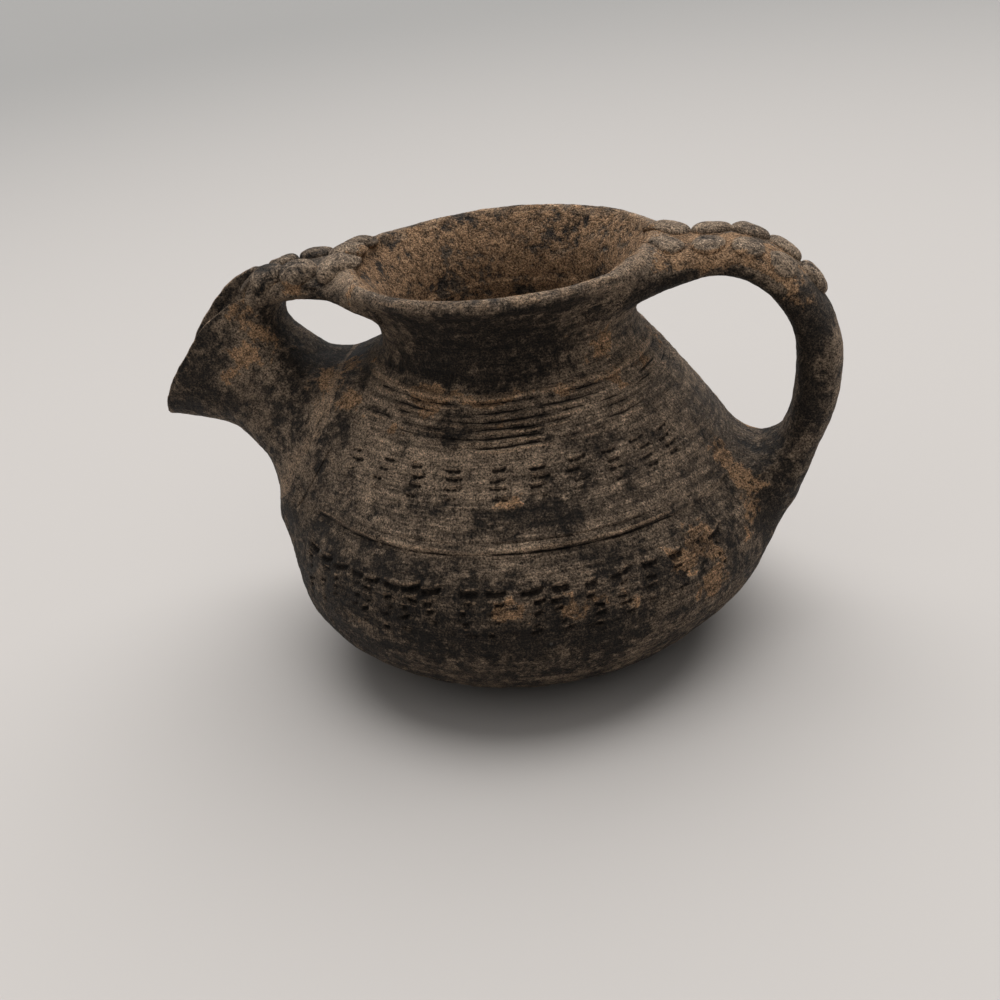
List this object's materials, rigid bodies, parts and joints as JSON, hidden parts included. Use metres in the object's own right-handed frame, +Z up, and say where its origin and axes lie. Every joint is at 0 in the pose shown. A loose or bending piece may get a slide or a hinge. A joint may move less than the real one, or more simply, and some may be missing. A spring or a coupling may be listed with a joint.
{
  "type": "jug",
  "caption": "Round-bellied hand-built clay jug with a flared neck, a bridged beak spout and a loop handle set with clay pellets.",
  "frame": {"origin": "centre of the flat that the jug rests on, on the axis of its round body", "axes": "+Z up along the body axis, +X toward the handle, -X toward the spout"},
  "size_m": [0.2041, 0.147, 0.1234],
  "materials": {
    "sooted_clay": "unglazed fired clay, smoke-blackened, faintly burnished, with earthy patches",
    "burnished_clay": "unglazed fired clay, brown-black, hand-smoothed, worn to tan on the edges",
    "pellet_clay": "unglazed fired clay, brown, rubbed grey on top"
  },
  "bodies": {
    "root": {"base_bowl": "sooted_clay", "shoulder": "sooted_clay", "neck_collar": "burnished_clay", "pour_spout": "burnished_clay", "spout_bridge": "burnished_clay", "loop_handle": "burnished_clay", "handle_pellet_1": "pellet_clay", "handle_pellet_2": "pellet_clay", "handle_pellet_3": "pellet_clay", "handle_pellet_4": "pellet_clay", "handle_pellet_5": "pellet_clay", "handle_pellet_6": "pellet_clay", "handle_pellet_7": "pellet_clay", "handle_pellet_8": "pellet_clay", "handle_pellet_9": "pellet_clay", "bridge_pellet_1": "pellet_clay", "bridge_pellet_2": "pellet_clay", "bridge_pellet_3": "pellet_clay", "bridge_pellet_4": "pellet_clay", "bridge_pellet_5": "pellet_clay", "bridge_pellet_6": "pellet_clay", "bridge_pellet_7": "pellet_clay", "bridge_pellet_8": "pellet_clay"}
  },
  "joints": []
}
